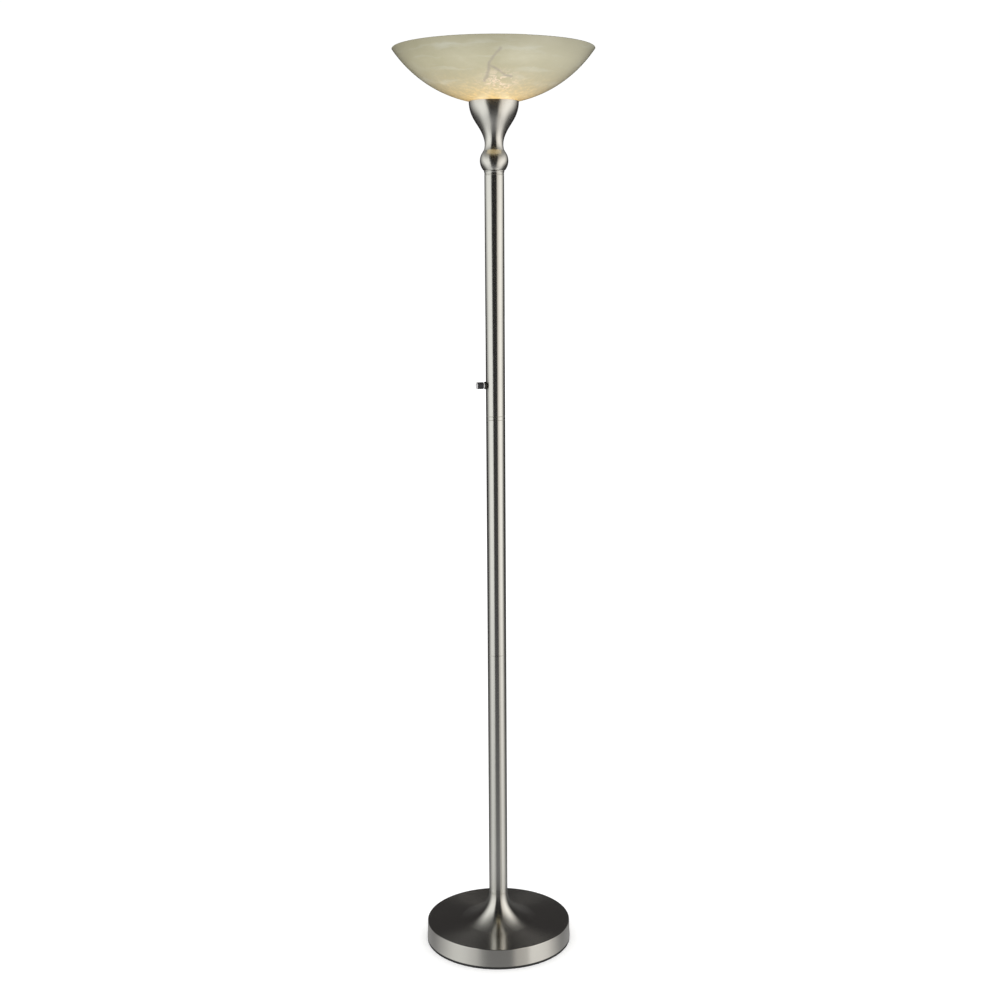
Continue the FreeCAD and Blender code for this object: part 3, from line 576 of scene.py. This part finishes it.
def rolled_thread(name, crest, trough, low, high):
    """An open tube of thin sheet with a rolled round thread, cut level at both ends."""
    nothing_selected()
    turns = math.ceil((high - low) / thread_pitch) + 2
    bpy.ops.mesh.primitive_plane_add(size=0.001, location=(crest, 0.0, low - thread_pitch))
    piece = bpy.context.object
    piece.name = name
    bpy.ops.object.transform_apply(location=True, rotation=True, scale=True)
    bpy.context.tool_settings.mesh_select_mode = (True, False, False)
    bpy.ops.object.mode_set(mode="EDIT")
    bpy.ops.mesh.select_all(action="SELECT")
    bpy.ops.mesh.merge(type="CENTER")
    depth = crest - trough
    for step in range(thread_steps):
        here = math.cos(2 * math.pi * step / thread_steps)
        after = math.cos(2 * math.pi * (step + 1) / thread_steps)
        move = ((after - here) * depth / 2, 0.0, thread_pitch / thread_steps)
        bpy.ops.mesh.extrude_region_move(TRANSFORM_OT_translate={"value": move})
    bpy.ops.object.mode_set(mode="OBJECT")
    winding = piece.modifiers.new("winding", "SCREW")
    winding.screw_offset = thread_pitch
    winding.iterations = turns
    winding.steps = thread_sides
    winding.render_steps = thread_sides
    winding.use_merge_vertices = True
    winding.merge_threshold = weld
    bpy.ops.object.modifier_apply(modifier="winding")
    bpy.ops.object.mode_set(mode="EDIT")
    bpy.ops.mesh.select_all(action="SELECT")
    bpy.ops.mesh.remove_doubles(threshold=weld)
    bpy.ops.mesh.select_all(action="SELECT")
    level = {"plane_no": (0.0, 0.0, 1.0), "threshold": hair}
    bpy.ops.mesh.bisect(plane_co=(0.0, 0.0, low), clear_inner=True, **level)
    bpy.ops.mesh.select_all(action="SELECT")
    bpy.ops.mesh.bisect(plane_co=(0.0, 0.0, high), clear_outer=True, **level)
    bpy.ops.object.mode_set(mode="OBJECT")
    return piece


def draw_on(piece, edge_z, runs):
    """Draws the tube's open edge at a height on through (radius, height) places."""
    edit_edges(piece, z_axis, edge_z)
    here = edge_z
    for radius, height in runs:
        bpy.ops.mesh.extrude_region_move(TRANSFORM_OT_translate={"value": (0.0, 0.0, height - here)})
        here = height
        bpy.ops.object.mode_set(mode="OBJECT")
        for corner in piece.data.vertices:
            if corner.select:
                share = radius / math.hypot(corner.co.x, corner.co.y)
                corner.co.x *= share
                corner.co.y *= share
        bpy.ops.object.mode_set(mode="EDIT")
    bpy.ops.object.mode_set(mode="OBJECT")


def thicken(piece, sheet, side):
    """Gives the sheet its thickness: along its faces' normals for a side of 1, against them for -1."""
    bpy.ops.object.mode_set(mode="EDIT")
    bpy.ops.mesh.select_all(action="SELECT")
    bpy.ops.mesh.normals_make_consistent(inside=False)
    bpy.ops.object.mode_set(mode="OBJECT")
    wall = piece.modifiers.new("wall", "SOLIDIFY")
    wall.thickness = sheet
    wall.offset = side
    wall.use_even_offset = True
    bpy.ops.object.modifier_apply(modifier="wall")
    bpy.ops.object.shade_smooth_by_angle(angle=math.radians(40))


shell = rolled_thread("threaded_shell", shell_radius + shell_swell, shell_radius, shell_from, shell_to)
draw_on(shell, shell_from, [
    (shell_radius + 0.0001, shell_low.z + 0.003), (shell_radius, shell_low.z + 0.001),
    (shell_radius - 0.0008, shell_low.z + shell_sheet), (shell_hole, shell_low.z + shell_sheet),
])
draw_on(shell, shell_to, [
    (shell_radius + 0.00015, shell_high.z - 0.002), (shell_radius + shell_swell, shell_high.z),
])
# The shell's faces point at its axis here, so its wall grows inwards, as the bulb cap's does.
thicken(shell, shell_sheet, 1)
shell.data.materials.append(brass)
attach(shell, "stand")
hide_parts("socket_shell")

fibre = moulded_finish(
    "fibre", (0.24, 0.14, 0.07), (0.36, 0.23, 0.13),
    grain=900.0, rough=0.9, smooth=0.7, depth=0.0002,
)
paint(fibre, "shade_gaskets")
soft_ring = moulded_finish(
    "soft_ring", (0.30, 0.26, 0.19), (0.38, 0.33, 0.25),
    grain=700.0, rough=0.6, smooth=0.4, depth=0.0001,
)
paint(soft_ring, "cup_gasket")


# ---- glass bowl -----------------------------------------------------------------------------
# Pressed alabaster glass, four millimetres thick, with a fire-rounded rim. Cloudy streaks run through it,
# with a few grey-violet veins. The glow of the dimmed bulb round the cup is painted light: emission in the
# glass.
glass_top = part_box("glass_shade")[1].z

# A vein is a chain of short straight runs. This group gives one run: 1 on its line, fading to
# 0 at its width from it.
vein_run, given, wanted = new_group(
    "vein_run", [("Place", "Vector"), ("Start", "Vector"), ("End", "Vector"), ("Width", "Float")], ["Vein"]
)
run = add(vein_run, "VectorMath", {0: given["End"], 1: given["Start"]}, operation="SUBTRACT").outputs[0]
off = add(vein_run, "VectorMath", {0: given["Place"], 1: given["Start"]}, operation="SUBTRACT").outputs[0]
reach = add(vein_run, "VectorMath", {0: off, 1: run}, operation="DOT_PRODUCT").outputs["Value"]
whole = add(vein_run, "VectorMath", {0: run, 1: run}, operation="DOT_PRODUCT").outputs["Value"]
share = maths(vein_run, "DIVIDE", reach, whole, clamp=True)
foot = add(vein_run, "VectorMath", {0: run, "Scale": share}, operation="SCALE").outputs[0]
gap = add(vein_run, "VectorMath", {0: off, 1: foot}, operation="DISTANCE").outputs["Value"]
near = add(vein_run, "MapRange", {"Value": gap, "From Min": 0.0, "From Max": given["Width"]})
near.interpolation_type = "SMOOTHSTEP"
near.inputs["To Min"].default_value = 1.0
near.inputs["To Max"].default_value = 0.0
vein_run.links.new(near.outputs["Result"], wanted["Vein"])

alabaster, tree, shader = new_material("alabaster")
place = add(tree, "TexCoord", {}).outputs["Object"]
turned = add(tree, "Mapping", {"Vector": place, "Rotation": (0.0, 0.0, -view_turn)}).outputs["Vector"]
wander = add(tree, "TexNoise", {"Vector": turned, "Scale": 42.0, "Detail": 4.0})
shift = add(
    tree, "VectorMath", {0: wander.outputs["Color"], 1: (0.5, 0.5, 0.5)}, operation="SUBTRACT"
).outputs[0]
shift = add(tree, "VectorMath", {0: shift, "Scale": 0.011}, operation="SCALE").outputs[0]
wandering = add(tree, "VectorMath", {0: turned, 1: shift}, operation="ADD").outputs[0]

vein_width = 0.0048
vein_strength = 0.48
vein_grey = (0.30, 0.25, 0.24, 1.0)
# Painted light: the paler tone of the more lit side.
painted_lit_side = (0.56, 0.53, 0.385, 1.0)
milky_streak = (0.60, 0.60, 0.49, 1.0)
# Painted light: the pale colour where the bulb shines through the crackle.
bulb_shine_flake = (0.80, 0.66, 0.53, 1.0)
# Painted light: the colour of the bulb's glow, painted into the glass as emission.
painted_glow_tone = (0.85, 0.50, 0.12, 1.0)
glow_fall = 2.6                 # how quickly the glow dies away from the cup
glow_veil = 0.4                 # how much of the glow a vein holds back
# Where that painted bulb light sits on the bowl, and how far it reaches.
bulb_shine_centre = (0.010, -0.108, 1.7265)
bulb_shine_reach = 0.054
# Painted shade towards the rim: how dark, and over what height.
painted_rim_darkening = 0.76
painted_rim_darkening_height = 0.034
bowl_radius = 0.2364            # of the sphere that the outside follows
bowl_centre_z = 1.9372
# Each vein goes through places given as a bearing from the viewer's side and a distance out.
vein_places = [
    [(3.6, 0.1773), (-0.4, 0.164), (-3.1, 0.1502), (-4.6, 0.1364), (-6.6, 0.1218), (-8.5, 0.1153)],
    [(-3.1, 0.1502), (2.4, 0.1401), (9.3, 0.130), (14.0, 0.1265)],
    [(118.0, 0.175), (109.0, 0.160), (106.0, 0.142), (99.0, 0.127)],
    [(-128.0, 0.168), (-137.0, 0.152), (-134.0, 0.136)],
    [(-137.0, 0.152), (-147.0, 0.147), (-153.0, 0.136)],
]


def on_bowl(degrees, distance):
    """A point on the bowl's outside."""
    bearing = math.radians(degrees)
    drop = math.sqrt(bowl_radius ** 2 - distance ** 2)
    return (distance * math.sin(bearing), -distance * math.cos(bearing), bowl_centre_z - drop)


veins = None
for places in vein_places:
    chain = [on_bowl(*spot) for spot in places]
    for start, end in zip(chain[:-1], chain[1:]):
        run = use(tree, vein_run, {"Place": wandering, "Start": start, "End": end, "Width": vein_width})
        veins = run["Vein"] if veins is None else maths(tree, "MAXIMUM", veins, run["Vein"])

cloud_place = add(tree, "Mapping", {"Vector": wandering, "Scale": (1.0, 1.0, 2.6)}).outputs["Vector"]
clouds = add(tree, "TexNoise", {"Vector": cloud_place, "Scale": 13.0, "Detail": 6.0, "Roughness": 0.55})
clouds = clouds.outputs["Fac"]
streak_place = add(tree, "Mapping", {
    "Vector": wandering, "Rotation": (0.0, 0.14, 0.0), "Scale": (1.0, 1.0, 9.0),
}).outputs["Vector"]
streaks = add(tree, "TexNoise", {"Vector": streak_place, "Scale": 10.0, "Detail": 5.0}).outputs["Fac"]
body_tone = ramp(tree, clouds, [
    (0.30, (0.44, 0.415, 0.272)),
    (0.52, (0.475, 0.445, 0.30)),
    (0.70, (0.52, 0.495, 0.35)),
])
# Painted light: the bowl is paler towards the viewer's right, the side more light falls on.
side = add(tree, "SeparateXYZ", {"Vector": turned}).outputs["X"]
side = add(tree, "MapRange", {"Value": side, "From Min": 0.0, "From Max": 0.16, "To Max": 0.8})
body_tone = between(tree, side.outputs["Result"], body_tone, painted_lit_side)
streak_share = add(tree, "MapRange", {"Value": streaks, "From Min": 0.54, "From Max": 0.72, "To Max": 0.55})
body_tone = between(tree, streak_share.outputs["Result"], body_tone, milky_streak)
# Painted light: a patch of pale, pinkish crackle beside the vein, low on the side facing the viewer, where
# the bulb shines through. The crackle pattern is the glass's own; its brightness is painted light.
off_patch = add(tree, "VectorMath", {0: wandering, 1: bulb_shine_centre}, operation="DISTANCE").outputs["Value"]
patch = add(tree, "MapRange", {"Value": off_patch, "From Max": bulb_shine_reach, "To Min": 1.0, "To Max": 0.0})
patch.interpolation_type = "SMOOTHSTEP"
cracks = add(tree, "TexNoise", {"Vector": wandering, "Scale": 105.0, "Detail": 4.0, "Distortion": 1.4})
flakes = add(tree, "MapRange", {"Value": cracks.outputs["Fac"], "From Min": 0.49, "From Max": 0.60})
bulb_shine_crackle = maths(tree, "MULTIPLY", flakes.outputs["Result"], patch.outputs["Result"])
body_tone = between(tree, bulb_shine_crackle, body_tone, bulb_shine_flake)
body_tone = between(tree, maths(tree, "MULTIPLY", veins, vein_strength), body_tone, vein_grey)
# Painted shade: the colour darkens towards the rim, over the band where the thick edge is seen at a slant.
split = add(tree, "SeparateXYZ", {"Vector": turned})
edge = add(tree, "MapRange", {
    "Value": split.outputs["Z"], "From Min": glass_top - painted_rim_darkening_height, "From Max": glass_top,
})
edge = between(tree, edge.outputs["Result"], (1.0, 1.0, 1.0, 1.0), (painted_rim_darkening, painted_rim_darkening, painted_rim_darkening, 1.0))
body_tone = mix(tree, "MULTIPLY", body_tone, edge)
tree.links.new(body_tone, shader.inputs["Base Color"])
shader.inputs["Roughness"].default_value = 0.4
shader.inputs["Specular IOR Level"].default_value = 0.35
shader.inputs["Coat Weight"].default_value = 1.0
shader.inputs["Coat Roughness"].default_value = 0.12

# Painted light: the bulb's glow through the glass, painted as emission. It is strongest round the cup, dies
# away outwards in spots, and the veins hold a little of it back.
level = add(tree, "CombineXYZ", {"X": split.outputs["X"], "Y": split.outputs["Y"]})
radius = add(tree, "VectorMath", {0: level.outputs["Vector"]}, operation="LENGTH").outputs["Value"]
nearness = add(tree, "MapRange", {
    "Value": radius, "From Min": 0.045, "From Max": 0.19, "To Min": 1.0, "To Max": 0.0,
})
painted_glow = maths(tree, "POWER", nearness.outputs["Result"], glow_fall)
mottle = add(tree, "TexNoise", {"Vector": wandering, "Scale": 130.0, "Detail": 4.0}).outputs["Fac"]
painted_glow_spots = add(tree, "MapRange", {
    "Value": mottle, "From Min": 0.45, "From Max": 0.75, "To Min": 0.85, "To Max": 1.5,
})
painted_glow = maths(tree, "MULTIPLY", painted_glow, painted_glow_spots.outputs["Result"])
veil = maths(tree, "SUBTRACT", 1.0, maths(tree, "MULTIPLY", veins, glow_veil))
painted_glow = maths(tree, "MULTIPLY", painted_glow, veil)
lit = between(tree, painted_glow, (0.0, 0.0, 0.0, 1.0), painted_glow_tone)
tree.links.new(lit, shader.inputs["Emission Color"])
shader.inputs["Emission Strength"].default_value = 0.90
paint(alabaster, "glass_shade")


# ---- bulb -----------------------------------------------------------------------------------
# A medium screw-base bulb, frosted inside and dimmed to a warm glow. Its cap is thin
# aluminium rolled to a thread, with a black glass insulator and a drop of solder at the tip.
frosted, tree, shader = new_material("frosted")
place = add(tree, "TexCoord", {}).outputs["Object"]
surface = use(tree, moulded, {"Place": place, "Grain": 500.0})
tone = between(tree, surface["Mottle"], (0.60, 0.57, 0.50, 1.0), (0.68, 0.65, 0.58, 1.0))
tree.links.new(tone, shader.inputs["Base Color"])
shader.inputs["Roughness"].default_value = 0.3
centre_glow = between(tree, surface["Mottle"], (1.0, 0.62, 0.26, 1.0), (1.0, 0.68, 0.32, 1.0))
tree.links.new(centre_glow, shader.inputs["Emission Color"])
shader.inputs["Emission Strength"].default_value = 0.62
paint(frosted, "bulb_globe")
aluminium = lathe_metal(
    "aluminium", (0.72, 0.72, 0.71), (0.80, 0.80, 0.79),
    lines=1500.0, smooth=0.25, rough=0.4, depth=0.00006,
)
screw_low, screw_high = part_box("bulb_cap")
screw_radius = screw_high.x
screw_sheet = 0.0003
screw_depth = 0.0007            # from a crest of the thread to a trough
screw_neck = 0.0105
screw_hole = 0.006
thread_from = screw_low.z + 0.004
thread_to = screw_high.z - 0.005
screw = rolled_thread("threaded_cap", screw_radius, screw_radius - screw_depth, thread_from, thread_to)
draw_on(screw, thread_from, [
    (screw_radius - 0.0003, screw_low.z + 0.003), (screw_neck, screw_low.z), (screw_hole, screw_low.z),
])
draw_on(screw, thread_to, [
    (screw_radius - 0.0001, thread_to + 0.001), (screw_radius, thread_to + 0.0016),
    (screw_radius, screw_high.z),
])
thicken(screw, screw_sheet, -1)
screw.data.materials.append(aluminium)
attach(screw, "bulb")
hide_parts("bulb_cap")
vitrite = moulded_finish(
    "vitrite", (0.01, 0.01, 0.014), (0.02, 0.02, 0.026),
    grain=600.0, rough=0.25, smooth=0.1, depth=0.00008,
)
paint(vitrite, "bulb_insulator")
solder = lathe_metal(
    "solder", (0.50, 0.50, 0.48), (0.64, 0.64, 0.62),
    lines=900.0, smooth=0.35, rough=0.5, depth=0.0001,
)
paint(solder, "bulb_tip")
tungsten = lathe_metal(
    "tungsten", (0.26, 0.26, 0.26), (0.34, 0.34, 0.34),
    lines=3000.0, smooth=0.35, rough=0.5, depth=0.00004,
)
paint(tungsten, "bulb_filament")
clear_glass = moulded_finish(
    "clear_glass", (0.86, 0.90, 0.90), (0.92, 0.94, 0.94),
    grain=500.0, rough=0.08, smooth=0.03, depth=0.00004,
)
shader_of(clear_glass).inputs["Transmission Weight"].default_value = 0.9
paint(clear_glass, "bulb_stem")


# ---- leads ----------------------------------------------------------------------------------
# Stranded wire in a plastic sleeve, a little over two millimetres across. The leads run from
# the connectors in the base up the pole to the lamp holder, one of them by way of the dimmer.
lead_black = moulded_finish(
    "lead_black", (0.015, 0.015, 0.015), (0.03, 0.03, 0.03),
    grain=1200.0, rough=0.5, smooth=0.35, depth=0.0001,
)
paint(lead_black, "line_lead", "switched_lead")
lead_white = moulded_finish(
    "lead_white", (0.74, 0.74, 0.71), (0.82, 0.82, 0.79),
    grain=1200.0, rough=0.5, smooth=0.35, depth=0.0001,
)
paint(lead_white, "neutral_lead")
